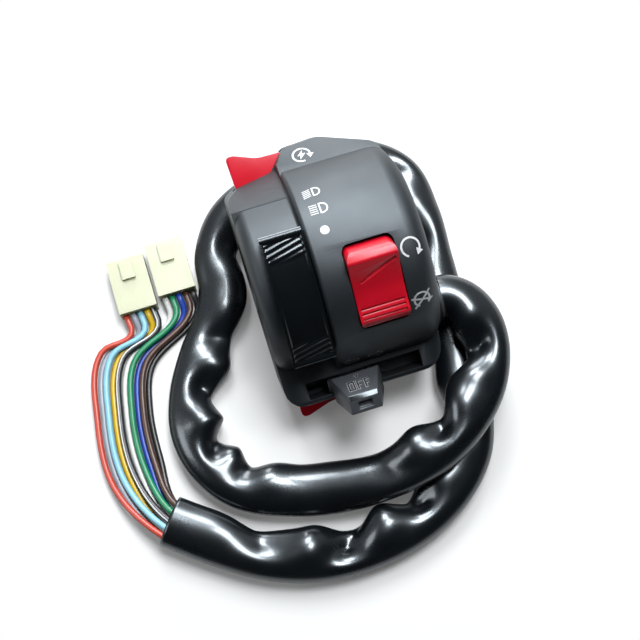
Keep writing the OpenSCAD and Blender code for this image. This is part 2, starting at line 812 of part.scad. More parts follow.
// Nipple that holds the sleeve where it leaves the shell, with a flange and a rib
module cable_grommet() {
    r = nipple_d / 2;
    color("#1b1b1d") {
        rod_x(cable_end - nipple_in, cable_end + nipple_out, r, cable_y, cable_z);
        rod_x(cable_end, cable_end + nipple_flange, r + nipple_lip, cable_y, cable_z);
        rod_x(cable_end + nipple_out - 1, cable_end + nipple_out, r + nipple_rib, cable_y, cable_z);
    }
}

module cable_sleeve() {
    spots = [for (p = sleeve_points) [p[0], p[1], p[2]]];
    color("#0e0e10") tube([
        for (i = [0:len(spots) - 1])
            ring(spots[i], heading(spots, i, sleeve_start, sleeve_end),
                sleeve_points[i][3], sleeve_points[i][4], sleeve_sides)
    ]);
}

// Wire k of ten, from the sleeve's mouth round the fan to its connector
module wire(k, paint) {
    lane = (k - 4.5) * fan_step;
    across = cross([0, 0, 1], sleeve_end);
    plug = k < 5 ? plug_b : plug_a;
    row = k % 2 == 0 ? -1 : 1;
    start = mouth + across * (floor(k / 2) - 2) * mouth_step + [0, 0, row * mouth_rows];
    end = plug + plug_side * ((k % 5) - 2) * plug_pitch;
    lift = [0, 0, row * fan_rise];
    lead = end - plug_dir * fan_lead;
    spots = concat(
        [start],
        [for (i = [0:len(fan_points) - 1]) fan_points[i] + unit(fan_sides[i]) * lane + lift],
        [[lead[0], lead[1], fan_points[0][2]] + lift, end]
    );
    color(paint) tube([
        for (i = [0:len(spots) - 1])
            ring(spots[i], heading(spots, i, sleeve_end, plug_dir), wire_d / 2, wire_d / 2, wire_sides)
    ]);
}

module wire_black() { wire(0, "#1a1a1c"); }
module wire_brown() { wire(1, "#4a2c20"); }
module wire_royal_blue() { wire(2, "#1d45b4"); }
module wire_green() { wire(3, "#11855a"); }
module wire_white() { wire(4, "#e8e8e6"); }
module wire_striped() { wire(5, "#2a2b30"); }
module wire_yellow() { wire(6, "#e0b818"); }
module wire_sky_blue() { wire(7, "#8cc8dc"); }
module wire_grey() { wire(8, "#a2a8b4"); }
module wire_red() { wire(9, "#c8432e"); }

// Frame of a connector: +X along its wires, Y across them
module on_plug(plug) {
    translate(plug) rotate([0, 0, atan2(plug_dir[1], plug_dir[0])]) children();
}

// Connector housing with a cavity for its five terminals and a latch on top
module connector(plug) {
    wall = 0.9;
    low = -plug_h / 2;
    color("#ece8cf") on_plug(plug) difference() {
        union() {
            span([0, -plug_w / 2, low], [plug_l, plug_w / 2, plug_h / 2]);
            span([plug_l - 7, -2, plug_h / 2 - 0.5], [plug_l - 1, 2, plug_h / 2 + 1]);
        }
        span([plug_l - 9, wall - plug_w / 2, low + wall], [plug_l + 1, plug_w / 2 - wall, plug_h / 2 - wall]);
        for (k = [0:4])
            rod_x(plug_l - 12, plug_l - 8, pin_hole_r, (k - 2) * plug_pitch, 0);
    }
}

module connector_a() { connector(plug_a); }
module connector_b() { connector(plug_b); }

// Terminal pins, rooted in the connector's floor
module terminals(plug) {
    color("#c9a75a") on_plug(plug) for (k = [0:4])
        rod_x(plug_l - 12, plug_l - pin_tip, pin_hole_r - 4 * fit, (k - 2) * plug_pitch, 0);
}

module terminals_a() { terminals(plug_a); }
module terminals_b() { terminals(plug_b); }

front_shell();
rear_shell();
shell_screws();
insert_nuts();
light_slider();
light_carrier();
light_detent_ball();
light_detent_spring();
light_contact_plate();
kill_rocker();
kill_pin();
kill_base();
kill_bridge();
kill_plunger();
kill_spring();
turn_knob();
turn_carriage();
turn_guide_plate();
turn_push_spring();
turn_detent_ball();
turn_detent_spring();
turn_contact_board();
starter_paddle();
starter_pin();
starter_spring();
starter_contact_leaf();
starter_contact_block();
horn_paddle();
horn_pin();
horn_spring();
horn_contact_leaf();
horn_contact_block();
cable_grommet();
cable_sleeve();
wire_black();
wire_brown();
wire_royal_blue();
wire_green();
wire_white();
wire_striped();
wire_yellow();
wire_sky_blue();
wire_grey();
wire_red();
connector_a();
connector_b();
terminals_a();
terminals_b();
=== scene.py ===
import json
import math

import bmesh
import bpy
from bpy.props import FloatProperty, FloatVectorProperty, PointerProperty
from mathutils import Matrix, Vector
from mathutils.bvhtree import BVHTree
from mathutils.geometry import interpolate_bezier

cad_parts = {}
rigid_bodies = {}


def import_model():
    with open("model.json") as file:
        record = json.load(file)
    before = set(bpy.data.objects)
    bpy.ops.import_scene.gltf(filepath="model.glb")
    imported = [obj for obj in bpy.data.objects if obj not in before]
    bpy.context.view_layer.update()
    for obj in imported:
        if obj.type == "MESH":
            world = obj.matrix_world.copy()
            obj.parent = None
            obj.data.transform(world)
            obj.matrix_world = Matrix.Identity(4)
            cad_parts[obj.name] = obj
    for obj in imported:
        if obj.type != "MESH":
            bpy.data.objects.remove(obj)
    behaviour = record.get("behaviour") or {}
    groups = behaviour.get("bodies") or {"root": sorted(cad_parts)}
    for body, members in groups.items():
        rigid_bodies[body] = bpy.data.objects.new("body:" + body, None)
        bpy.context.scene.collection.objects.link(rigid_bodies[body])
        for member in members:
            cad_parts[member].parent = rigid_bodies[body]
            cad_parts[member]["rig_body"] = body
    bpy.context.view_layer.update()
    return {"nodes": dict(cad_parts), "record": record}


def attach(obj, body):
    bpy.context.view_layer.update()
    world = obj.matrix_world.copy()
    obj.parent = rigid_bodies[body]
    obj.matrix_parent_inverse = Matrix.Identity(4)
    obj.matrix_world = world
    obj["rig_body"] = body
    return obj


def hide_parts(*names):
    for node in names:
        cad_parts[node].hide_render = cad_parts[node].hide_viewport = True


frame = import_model()
SLOT_COLOUR = {m["slot"]: (*m["base_color"], 1.0) for m in frame["record"]["materials"]}

bl_info = {
    "name": "Handlebar switch cluster",
    "version": (1, 0, 0),
    "blender": (4, 5, 0),
    "location": "View3D > Sidebar > Cluster",
    "description": "Dresses the packed handlebar switch cluster and sets its stage",
    "category": "Object",
}

MM = 0.001
UP = Vector((0, 0, 1))

# Cast of the gloss on dark plastic, dust on it, and the pale line of a two-tone wire
COOL = (0.84, 0.93, 1.0, 1.0)
DUST = (0.4, 0.4, 0.4, 1.0)
STRIPE = (0.40, 0.40, 0.40, 1)
WIRE_SHADE = 0.5

# Finishes of the inner parts: slot, name, roughness, and grain of a plastic
INNER_PLASTICS = (
    ("inner_plastic", "Inner plastic", 0.45, 0.02 * MM),
    ("inner_black", "Inner black plastic", 0.5, 0.02 * MM),
    ("grommet_rubber", "Nipple rubber", 0.5, 0.03 * MM),
)
INNER_METALS = (
    ("copper", "Contact copper", 0.3),
    ("brass", "Brass", 0.3),
    ("steel", "Bright steel", 0.25),
)

# The cluster lies on its back: its own front is -Y and its top is +Z before this turn
LAY = Matrix.Rotation(math.radians(-66), 4, "X")
BARREL_AXIS = Vector((0, -5, -2)) * MM
BARREL_R = 30 * MM
TRACK_R = 26.5 * MM
SLIDER_X0 = -20.15 * MM
SLIDER_X1 = -8.45 * MM
SLIDER_LOW = -42.2
SLIDER_HIGH = 29.2
KNOB_TOP = Vector((-4, -23.8, -34.2)) * MM
KNOB_OUT = Vector((0, -0.52, 0.854))
HUMP_TOP = Vector((-0.2, -6.5, 30.6)) * MM
HUMP_OUT = Vector((0, -0.686, 0.727))

# Route of the sleeve's middle on the bench, then its half width and half height, in metres
SLEEVE_ROUTE = [
    (0.0272, -0.0210, -0.0022, 0.0062, 0.0062), (0.0308, -0.0224, -0.0022, 0.0064, 0.0062),
    (0.0340, -0.0260, -0.0023, 0.0068, 0.0060), (0.0358, -0.0320, -0.0025, 0.0072, 0.0056),
    (0.0350, -0.0395, -0.0028, 0.0075, 0.0052), (0.0305, -0.0490, -0.0030, 0.0075, 0.0050),
    (0.0230, -0.0565, -0.0030, 0.0075, 0.0050), (0.0135, -0.0620, -0.0038, 0.0075, 0.0050),
    (0.0038, -0.0645, -0.0065, 0.0075, 0.0050), (-0.0064, -0.0650, -0.0100, 0.0075, 0.0050),
    (-0.0170, -0.0643, -0.0130, 0.0075, 0.0050), (-0.0305, -0.0610, -0.0140, 0.0075, 0.0050),
    (-0.0430, -0.0552, -0.0140, 0.0075, 0.0050), (-0.0500, -0.0465, -0.0140, 0.0075, 0.0050),
    (-0.0523, -0.0355, -0.0140, 0.0075, 0.0050), (-0.0497, -0.0250, -0.0144, 0.0075, 0.0046),
    (-0.0435, -0.0140, -0.0151, 0.0075, 0.0039), (-0.0365, -0.0045, -0.0151, 0.0072, 0.0039),
    (-0.0328, 0.0045, -0.0151, 0.0070, 0.0039), (-0.0312, 0.0146, -0.0150, 0.0070, 0.0040),
    (-0.0240, 0.0248, -0.0144, 0.0070, 0.0046), (-0.0105, 0.0305, -0.0140, 0.0070, 0.0050),
    (0.0050, 0.0320, -0.0140, 0.0070, 0.0050), (0.0195, 0.0313, -0.0140, 0.0070, 0.0050),
    (0.0302, 0.0232, -0.0142, 0.0066, 0.0048), (0.0328, 0.0095, -0.0142, 0.0060, 0.0048),
    (0.0318, -0.0060, -0.0142, 0.0060, 0.0048), (0.0308, -0.0200, -0.0142, 0.0060, 0.0048),
    (0.0296, -0.0310, -0.0142, 0.0064, 0.0048), (0.0280, -0.0420, -0.0142, 0.0070, 0.0048),
    (0.0265, -0.0530, -0.0140, 0.0075, 0.0050), (0.0223, -0.0645, -0.0140, 0.0075, 0.0050),
    (0.0145, -0.0727, -0.0140, 0.0075, 0.0050), (0.0030, -0.0789, -0.0140, 0.0075, 0.0050),
    (-0.0125, -0.0820, -0.0140, 0.0075, 0.0050), (-0.0280, -0.0812, -0.0140, 0.0075, 0.0050),
    (-0.0420, -0.0764, -0.0140, 0.0075, 0.0050), (-0.0546, -0.0683, -0.0140, 0.0075, 0.0050),
    (-0.0666, -0.0588, -0.0140, 0.0075, 0.0050),
]
SLEEVE_START = Vector((1, 0, 0))
SLEEVE_END = Vector((-12, 9.5, 0)).normalized()
SLEEVE_STEP = 0.9 * MM
SLEEVE_SIDES = 48
SLEEVE_EASE_IN = 6 * MM
SLEEVE_EASE_OUT = 20 * MM
SLEEVE_INSIDE = 14 * MM
FOLD_SLANT = 2.2

# Folds of the sleeve: place along it, bite in degrees from its right, depth and half length in mm
FOLDS = [
    (0.0240, 24, 3.8, 5.0), (0.0500, 18, 3.8, 5.0), (0.0720, 50, 1.6, 8.0),
    (0.1160, 20, 2.6, 5.0), (0.1310, 14, 3.8, 4.4), (0.1490, 22, 3.4, 5.0), (0.1680, 30, 2.2, 5.0),
    (0.1950, 20, 1.6, 6.0), (0.2300, 30, 1.6, 6.0), (0.2620, 40, 1.8, 6.0), (0.2900, 20, 1.6, 6.0),
    (0.3440, 24, 2.6, 5.0), (0.3780, 16, 3.4, 5.0), (0.4000, 38, 4.4, 5.4), (0.4290, 20, 2.2, 7.0),
]

# Wires: middle line of their fan, with the fan's outward side at each point, and their connectors
WIRES = [
    "wire_black", "wire_brown", "wire_royal_blue", "wire_green", "wire_white",
    "wire_striped", "wire_yellow", "wire_sky_blue", "wire_grey", "wire_red",
]
MOUTH = Vector((-0.0666, -0.0588, -0.014))
FAN_POINTS = [(-0.0724, -0.042, -0.0172), (-0.0717, -0.024, -0.0172), (-0.0665, -0.008, -0.0172)]
FAN_SIDES = [(-0.96, -0.28, 0), (-1, 0.05, 0), (-0.85, 0.53, 0)]
FAN_STEP = 1.75 * MM
FAN_RISE = 0.85 * MM
FAN_LEAD = 6 * MM
MOUTH_STEP = 2.4 * MM
MOUTH_ROWS = 1.5 * MM
PLUG_DIR = Vector((0, 1, 0))
PLUG_SIDE = Vector((-1, 0, 0))
PLUG_A = Vector((-0.0587, 0.005, -0.0159))
PLUG_B = Vector((-0.046, 0.007, -0.0159))
PLUG_PITCH = 2.15 * MM
WIRE_TUCK = 7 * MM
WIRE_SIDES = 12
PLUG_WAYS = 5

# Camera, as the photograph was taken
CAMERA_AIM = Vector((-7.96, -16.9, -4.2)) * MM
CAMERA_TOWARDS = Vector((-0.076, -0.241, 0.967)).normalized()
CAMERA_DISTANCE = 338 * MM
CAMERA_LENS = 64.7
BENCH_Z = -19.12 * MM

# Stage: the floor turns white between two distances from its middle, and is a little white near the part
STAGE_MIDDLE = Vector((-14 * MM, -26 * MM, BENCH_Z))
STAGE_NEAR = 66 * MM
STAGE_FAR = 105 * MM
GLOW_NEAR = 0.12
GLOW_GAIN = 0.86

# Softboxes: name, place, size and power
LAMPS = (
    ("back softbox", Vector((0.03, 0.39, 0.47)), 0.26, 5.8),
    ("top softbox", Vector((0.15, 0.12, 0.60)), 0.26, 6.2),
    ("low softbox", Vector((0.08, 0.62, 0.18)), 0.26, 2.8),
    ("left softbox", Vector((-0.55, 0.05, 0.35)), 0.25, 1.2),
)
LAMP_COLOUR = (0.96, 0.985, 1.0)


def colour(name, text, default):
    """A colour that the user may change."""
    return FloatVectorProperty(name=name, description=text, default=default, subtype="COLOR",
                               size=4, min=0, max=1)


def length(name, text, default):
    """A length in metres that the user may change."""
    return FloatProperty(name=name, description=text, default=default, min=0, unit="LENGTH", precision=5)


class ClusterSizes(bpy.types.PropertyGroup):
    """Small sizes of the finish."""

    edge: length("Moulded edge", "Rounding of the moulded edges", 0.35 * MM)
    ink_line: length("Mark line", "Width of a printed line", 0.55 * MM)
    ink_lift: length("Mark lift", "Height of the print over the plastic", 0.05 * MM)
    letter_rise: length("Letter rise", "Height of the knob's letters", 0.12 * MM)
    sleeve_wall: length("Sleeve wall", "Thickness of the limp sleeve", 0.6 * MM)
    wire_d: length("Wire", "Diameter of a wire over its insulation", 1.9 * MM)


class ClusterColours(bpy.types.PropertyGroup):
    """Colours of the finish."""

    shell: colour("Shells", "Matt plastic of the shells", (0.0028, 0.0038, 0.0050, 1))
    black: colour("Slider", "Polished plastic of the slider", (0.0022, 0.0028, 0.0034, 1))
    red: colour("Red switches", "Polished plastic of the rocker and paddles", (0.31, 0.0022, 0.0095, 1))
    knob: colour("Turn knob", "Satin plastic of the knob", (0.028, 0.030, 0.034, 1))
    sleeve: colour("Sleeve", "Limp plastic of the cable sleeve", (0.0012, 0.0017, 0.0023, 1))
    nylon: colour("Connectors", "Natural nylon of the connectors", (0.38, 0.39, 0.27, 1))
    ink: colour("Print", "Ink of the printed marks", (0.42, 0.43, 0.44, 1))
    dim_ink: colour("Dim print", "Ink of the greyer marks", (0.30, 0.31, 0.32, 1))
    floor: colour("Floor", "Pale floor of the stage", (0.42, 0.42, 0.42, 1))


class Socket:
    """A shader socket that takes part in sums, each of which adds a Math node."""

    def __init__(self, paint, link):
        self.paint = paint
        self.link = link

    def math(self, operation, a, b):
        """Adds a Math node and gives its result."""
        made = self.paint.node("ShaderNodeMath", {"operation": operation}, {0: a, 1: b})
        return self.paint.out(made, "Value")

    def __add__(self, other):
        return self.math("ADD", self, other)

    def __rsub__(self, other):
        return self.math("SUBTRACT", other, self)

    def __mul__(self, other):
        return self.math("MULTIPLY", self, other)


class Paint:
    """A procedural material: one Principled shader and the nodes that feed it."""

    def __init__(self, name, fixed):
        self.material = bpy.data.materials.new(name)
        self.material.use_nodes = True
        self.tree = self.material.node_tree
        self.shader = self.tree.nodes["Principled BSDF"]
        for socket, value in fixed.items():
            self.shader.inputs[socket].default_value = value

    def node(self, kind, settings, sockets):
        """Adds a node, sets it up, then gives its sockets their values or links."""
        made = self.tree.nodes.new(kind)
        for key, value in settings.items():
            setattr(made, key, value)
        for key, value in sockets.items():
            self.feed(made.inputs[key], value)
        return made

    def out(self, made, name):
        """A node's output, ready for sums."""
        return Socket(self, made.outputs[name])

    def feed(self, target, value):
        """Links a socket to a target, or sets a plain value on it."""
        if isinstance(value, Socket):
            self.tree.links.new(value.link, target)
        else:
            target.default_value = value

    def place(self):
        """The piece's own coordinates."""
        return self.out(self.node("ShaderNodeTexCoord", {}, {}), "Object")

    def noise(self, scale, detail=3.0, stretch=(1, 1, 1)):
        """Noise from 0 to 1 on the piece's own coordinates."""
        spot = self.place()
        if stretch != (1, 1, 1):
            turned = self.node("ShaderNodeMapping", {}, {"Vector": spot, "Scale": stretch})
            spot = self.out(turned, "Vector")
        made = self.node("ShaderNodeTexNoise", {}, {"Vector": spot, "Scale": scale, "Detail": detail})
        return self.out(made, "Fac")

    def between(self, value, low, high):
        """Smooth step from 0 at low to 1 at high."""
        made = self.node("ShaderNodeMapRange", {"interpolation_type": "SMOOTHSTEP"},
                         {"Value": value, "From Min": low, "From Max": high})
        return self.out(made, "Result")

    def mix(self, factor, a, b):
        """Colour from a to b by a factor."""
        made = self.node("ShaderNodeMix", {"data_type": "RGBA"}, {0: factor, 6: a, 7: b})
        return Socket(self, made.outputs[2])

    def bump(self, height, depth):
        """Roughens the surface by a height of a depth."""
        made = self.node("ShaderNodeBump", {}, {"Height": height, "Distance": depth, "Strength": 1.0})
        self.feed(self.shader.inputs["Normal"], self.out(made, "Normal"))

    def finish(self, base, rough):
        """Gives the shader its colour and roughness."""
        self.feed(self.shader.inputs["Base Color"], base)
        self.feed(self.shader.inputs["Roughness"], rough)
        return self.material


def shade(tone, share):
    """A lighter or darker cast of a colour."""
    return (*[min(1.0, c * share) for c in tone[:3]], 1.0)


def moulded_plastic(name, tone, rough, grain, shine=0.5, dust=0.0):
    """Moulded plastic: fine grain, cloudy gloss and a little dust."""
    paint = Paint(name, {"Specular IOR Level": shine, "Specular Tint": COOL})
    clouds = paint.noise(90, 4)
    fine = paint.noise(2600, 2)
    specks = paint.between(paint.noise(1500, 3), 0.66, 0.74) * dust
    base = paint.mix(clouds, shade(tone, 0.85), shade(tone, 1.18))
    base = paint.mix(specks, base, DUST)
    paint.bump(fine + clouds * 0.25, grain)
    return paint.finish(base, clouds * 0.12 + (rough - 0.06) + fine * 0.06)


def natural_nylon(name, tone):
    """Cloudy nylon that lets light into its walls."""
    paint = Paint(name, {"Subsurface Weight": 0.35, "Subsurface Radius": (0.004, 0.004, 0.002),
                         "Subsurface Scale": 1.0, "Transmission Weight": 0.25, "IOR": 1.5})
    clouds = paint.noise(160, 4)
    paint.bump(paint.noise(1800, 2), 0.03 * MM)
    return paint.finish(paint.mix(clouds, shade(tone, 0.86), shade(tone, 1.1)), clouds * 0.15 + 0.3)


def drawn_metal(name, tone, rough):
    """Rolled or drawn metal with faint lines along the bar."""
    paint = Paint(name, {"Metallic": 1.0})
    lines = paint.noise(900, 3, (0.1, 1, 1))
    stain = paint.noise(220, 4)
    paint.bump(lines, 0.01 * MM)
    return paint.finish(paint.mix(stain, shade(tone, 0.75), shade(tone, 1.15)), lines * 0.2 + (rough - 0.1))


def limp_sleeve(name, tone):
    """Glossy soft plastic with faint drawn lines and smears."""
    paint = Paint(name, {"Specular IOR Level": 0.7, "Specular Tint": COOL, "Coat Roughness": 0.08,
                         "Coat Weight": 0.25})
    smear = paint.noise(60, 4)
    fine = paint.noise(900, 3)
    paint.bump(fine * 0.4 + smear, 0.03 * MM)
    base = paint.mix(smear, shade(tone, 0.7), shade(tone, 1.4))
    return paint.finish(base, smear * 0.12 + 0.2 + fine * 0.04)


def insulation(name, tone, stripe=None):
    """Satin wire insulation, with a pale line along it where it is a two-tone wire."""
    paint = Paint(name, {"Specular IOR Level": 0.5})
    clouds = paint.noise(260, 3)
    base = paint.mix(clouds, shade(tone, 0.82), shade(tone, 1.16))
    if stripe:
        around = paint.out(paint.node("ShaderNodeAttribute", {"attribute_name": "around"}, {}), "Fac")
        line = paint.between(around, 0.27, 0.28) * (1 - paint.between(around, 0.35, 0.36))
        base = paint.mix(line, base, stripe)
    paint.bump(paint.noise(1500, 2), 0.02 * MM)
    return paint.finish(base, clouds * 0.15 + 0.3)


def print_ink(name, tone):
    """Printed ink, thin in places."""
    paint = Paint(name, {"Specular IOR Level": 0.3})
    thin = paint.between(paint.noise(1300, 3), 0.3, 0.62)
    return paint.finish(paint.mix(thin, shade(tone, 0.78), tone), thin * 0.1 + 0.5)


def new_piece(name, bm, material, body):
    """Turns a bmesh into a finished piece that rides on a body."""
    mesh = bpy.data.meshes.new(name)
    bm.to_mesh(mesh)
    bm.free()
    mesh.materials.append(material)
    piece = bpy.data.objects.new(name, mesh)
    bpy.context.scene.collection.objects.link(piece)
    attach(piece, body)
    return piece


def moulded_copy(node, material, edge, shape=None):
    """A copy of a CAD node, shaped where asked and with its sharp edges rounded, which stands for it."""
    bm = bmesh.new()
    bm.from_mesh(frame["nodes"][node].data)
    bmesh.ops.remove_doubles(bm, verts=bm.verts, dist=0.002 * MM)
    bmesh.ops.dissolve_limit(bm, angle_limit=math.radians(0.6), verts=bm.verts, edges=bm.edges)
    if shape:
        shape(bm)
    corners = [e for e in bm.edges if e.is_manifold and e.calc_face_angle(0) > math.radians(32)]
    bmesh.ops.bevel(bm, geom=corners, offset=edge, offset_type="OFFSET", segments=3, profile=0.5,
                    affect="EDGES", material=-1, clamp_overlap=True)
    for face in bm.faces:
        face.smooth = True
    piece = new_piece(node + "_moulded", bm, material, frame["nodes"][node]["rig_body"])
    piece.data.set_sharp_from_angle(angle=math.radians(38))
    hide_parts(node)
    return piece


def ease(value, low, high):
    """Smooth step from 0 at low to 1 at high."""
    share = min(1.0, max(0.0, (value - low) / (high - low)))
    return share * share * (3 - 2 * share)


def slider_rise(angle, across):
    """Height of the slider's skin over its track in mm: rims, a sunk middle and ribbed ends."""
    middle = (SLIDER_LOW + SLIDER_HIGH) / 2
    half = (SLIDER_HIGH - SLIDER_LOW) / 2
    far = abs(angle - middle) / half
    crown = 3.2 + 2.4 * far ** 2.5
    side = min(across, 1 - across) * 11.6
    rim = 0.6 - 0.6 * ease(side, 0.35, 1.2)
    lean = (across - 0.5) * (-5 if angle > middle else 5)
    rib = 0.5 - 0.5 * math.cos(math.tau * (abs(angle - middle) + lean) / 2.9)
    grip = ease(far, 0.58, 0.70) * (0.10 + 0.30 * rib) * ease(side, 0.4, 1.0)
    ridge = 0.75 * ease(far, 0.86, 0.93) * (1 - ease(far, 0.95, 1.0))
    return crown + 0.12 + max(rim * (1 - ease(far, 0.9, 1.0)), grip * (1 - ease(far, 0.86, 0.93)), ridge)


def slider_skin():
    """Polished skin over the slider: a fine grid bent round the barrel, with a skirt down to the track."""
    bm = bmesh.new()
    bmesh.ops.create_grid(bm, x_segments=40, y_segments=260, size=0.5)
    border = [e for e in bm.edges if e.is_boundary]
    made = bmesh.ops.extrude_edge_only(bm, edges=border)["geom"]
    skirt = {v for v in made if isinstance(v, bmesh.types.BMVert)}
    for v in bm.verts:
        across = v.co.x + 0.5
        angle = SLIDER_LOW + (SLIDER_HIGH - SLIDER_LOW) * (v.co.y + 0.5)
        rise = 0.5 if v in skirt else slider_rise(angle, across)
        reach = TRACK_R + rise * MM
        x = SLIDER_X0 + (SLIDER_X1 - SLIDER_X0) * across
        turn = math.radians(angle)
        v.co = LAY @ (Vector((x, -reach * math.cos(turn), reach * math.sin(turn))) + BARREL_AXIS)
    for face in bm.faces:
        face.smooth = True
        face.normal_update()
    middle = max(bm.faces, key=lambda f: f.calc_center_median().z)
    if middle.normal.z < 0:
        bmesh.ops.reverse_faces(bm, faces=bm.faces)
    return bm


def chamfer_painted_shade(bm):
    """Gives the knob's front chamfer the second finish, the black slider plastic, as painted shade on the
    chamfer.
    """
    chamfer = LAY.to_3x3() @ Vector((0, -0.92, 0.39))
    for face in bm.faces:
        if face.normal.dot(chamfer) > 0.97:
            face.material_index = 1


def repaint(nodes, material):
    """Gives CAD nodes a finish."""
    for node in nodes:
        mesh = frame["nodes"][node].data
        mesh.materials.clear()
        mesh.materials.append(material)


def smooth_route(points, first, last, step):
    """Points a step apart on a smooth curve through the points, each with its place along the route."""
    count = len(points)
    heads = [first]
    for i in range(1, count - 1):
        after = (points[i + 1] - points[i]).normalized()
        before = (points[i] - points[i - 1]).normalized()
        heads.append((after + before).normalized())
    heads.append(last)
    line = []
    for i in range(count - 1):
        reach = (points[i + 1] - points[i]).length
        turns = max(2, round(reach / step))
        arc = interpolate_bezier(points[i], points[i] + heads[i] * reach / 3,
                                 points[i + 1] - heads[i + 1] * reach / 3, points[i + 1], turns + 1)
        line += [(p, i + k / turns) for k, p in enumerate(arc[:-1])]
    line.append((points[-1], count - 1))
    return line


def sweep(line, half_sizes, sides, dent=None):
    """Tube of rings along a line, bridged one to the next, and its last edges."""
    bm = bmesh.new()
    around = bm.verts.layers.float.new("around")
    last = len(line) - 1
    before = None
    for i, place in enumerate(line):
        forward = (line[min(i + 1, last)] - line[max(i - 1, 0)]).normalized()
        side = forward.cross(UP).normalized()
        turn = Matrix((side, side.cross(forward), -forward)).transposed().to_4x4()
        turn.translation = place
        ring = bmesh.ops.create_circle(bm, segments=sides, radius=1)["verts"]
        for v in ring:
            angle = math.atan2(v.co.y, v.co.x) % math.tau
            v[around] = angle / math.tau
            wide, high = half_sizes[i]
            swell = dent(i, angle) if dent else 0.0
            v.co = turn @ Vector((v.co.x * (wide + swell), v.co.y * (high + swell), 0))
            v.co.z = max(v.co.z, BENCH_Z)
        edges = list({e for v in ring for e in v.link_edges})
        if before:
            bmesh.ops.bridge_loops(bm, edges=before + edges)
        before = edges
    return bm, before


def bar(bm, a, b, wide):
    """Flat stroke from a to b, in mm."""
    a = Vector((*a, 0))
    span = Vector((*b, 0)) - a
    turn = Matrix.Rotation(math.atan2(span.y, span.x), 4, "Z")
    place = Matrix.Translation(a + span / 2) @ turn @ Matrix.Diagonal((span.length, wide, 1, 1))
    bmesh.ops.create_grid(bm, x_segments=10, y_segments=2, size=0.5, matrix=place)


def arc(bm, middle, radius, wide, start, turn):
    """Flat curved stroke round a middle, in mm and degrees."""
    middle = Vector((*middle, 0))
    head = Vector((math.cos(math.radians(start)), math.sin(math.radians(start)), 0))
    a = bm.verts.new(middle + head * (radius - wide / 2))
    b = bm.verts.new(middle + head * (radius + wide / 2))
    bmesh.ops.spin(bm, geom=[a, b, bm.edges.new((a, b))], cent=middle, axis=(0, 0, 1),
                   angle=math.radians(turn), steps=max(6, round(abs(turn) / 10)), use_merge=False)


def patch(bm, corners):
    """Flat filled shape, in mm, cut fine enough to follow a curved surface."""
    face = bm.faces.new([bm.verts.new((x, y, 0)) for x, y in corners])
    bmesh.ops.subdivide_edges(bm, edges=face.edges, cuts=4, use_grid_fill=True)


def turning_arrow(bm, radius, wide, start, turn, head=1.0):
    """Arc with an arrow head of a size at its end."""
    arc(bm, (0, 0), radius, wide, start, turn)
    end = math.radians(start + turn)
    tip = Vector((math.cos(end), math.sin(end))) * radius
    ahead = Vector((math.sin(end), -math.cos(end)))
    side = Vector((ahead.y, -ahead.x))
    ahead *= head
    side *= head
    patch(bm, [tip + ahead * 1.4, tip - side * 1.05 - ahead * 0.3, tip + side * 1.05 - ahead * 0.3])


def lamp_mark(bm, wide, rise, slope):
    """Head lamp: a D with five rays to its left."""
    bar(bm, (0, -rise - wide / 2), (0, rise + wide / 2), wide)
    for y in (-rise, rise):
        bar(bm, (0, y), (0.5, y), wide)
    arc(bm, (0.5, 0), rise, wide, -90, 180)
    for k in range(5):
        y = rise * (0.9 - 0.45 * k)
        bar(bm, (-2.9, y - slope), (-0.7, y), 0.28)


def start_mark(bm, wide):
    """Turning arrow round a flash."""
    turning_arrow(bm, 2.5, wide, 282, -292)
    patch(bm, [(0.6, 1.8), (-1.3, -0.2), (0.2, -0.2)])
    patch(bm, [(-0.2, 0.4), (1.3, 0.4), (-0.7, -1.7)])


def run_mark(bm, wide):
    """Turning arrow."""
    turning_arrow(bm, 2.55, wide, 246, -278)


def stop_mark(bm, wide):
    """Turning arrow that is crossed out."""
    turning_arrow(bm, 2.2, wide, 246, -268, 0.7)
    bar(bm, (-2.3, -2.6), (2.5, 2.4), wide)
    bar(bm, (-3.0, 0.7), (3.1, -0.7), wide)


def low_beam_mark(bm, wide):
    """Head lamp with sloping rays."""
    lamp_mark(bm, wide * 0.75, 1.4, 0.5)


def high_beam_mark(bm, wide):
    """Head lamp with level rays."""
    lamp_mark(bm, wide * 0.8, 1.5, 0.0)


def dot_mark(bm, _wide):
    """Round spot for the off place."""
    bmesh.ops.create_circle(bm, cap_ends=True, cap_tris=True, segments=28, radius=1.25)


def left_arrow_mark(bm, wide):
    """Outlined arrow to the left."""
    corners = [(-2.1, 0), (-0.6, 1.9), (-0.6, 0.9), (2.1, 0.9), (2.1, -0.9), (-0.6, -0.9), (-0.6, -1.9)]
    for a, b in zip(corners, corners[1:] + corners[:1]):
        bar(bm, a, b, wide * 0.66)


def right_arrow_mark(bm, wide):
    """Outlined arrow to the right."""
    left_arrow_mark(bm, wide)
    bmesh.ops.rotate(bm, verts=bm.verts, matrix=Matrix.Rotation(math.pi, 3, "Z"))


def off_mark(bm, wide):
    """Word on the knob, with the pointer over it."""
    for x in (-3.0, -1.5):
        bar(bm, (x, -1.5), (x, 1.5), wide)
    for y in (-1.5, 1.5):
        bar(bm, (-3.0 - wide / 2, y), (-1.5 + wide / 2, y), wide)
    for x in (-0.4, 1.8):
        bar(bm, (x, -1.5 - wide / 2), (x, 1.5 + wide / 2), wide)
        bar(bm, (x, 1.5), (x + 1.4, 1.5), wide)
        bar(bm, (x, 0.1), (x + 1.1, 0.1), wide)
    bar(bm, (-0.5, 4.2), (0, 3.0), wide * 0.6)
    bar(bm, (0.5, 4.2), (0, 3.0), wide * 0.6)


